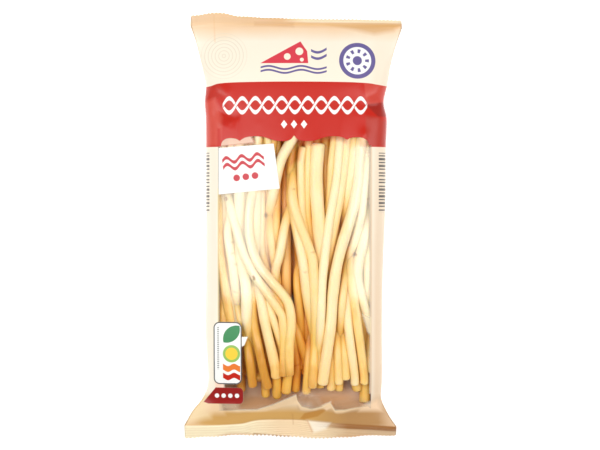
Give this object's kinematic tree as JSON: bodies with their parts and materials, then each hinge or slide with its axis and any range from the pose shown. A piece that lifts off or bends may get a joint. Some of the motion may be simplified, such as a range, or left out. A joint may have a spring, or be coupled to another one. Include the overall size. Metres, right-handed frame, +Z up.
{
  "type": "sealed film pack of smoked string cheese",
  "caption": "Sealed flow-wrapped film bag with a clear window over a bundle of smoked cheese strings, lying on its back with crimped, toothed end seals.",
  "frame": {"origin": "middle of the pack's footprint, on the surface that it lies on", "axes": "+X across the pack, +Y along it towards the printed header, +Z up out of the window side"},
  "size_m": [0.1236, 0.2442, 0.0321],
  "materials": {
    "film": "glossy printed film with a clear window",
    "cheese": "satin, slightly translucent smoked cheese"
  },
  "bodies": {
    "root": {"string_cheese_pack": "film"}
  },
  "joints": []
}
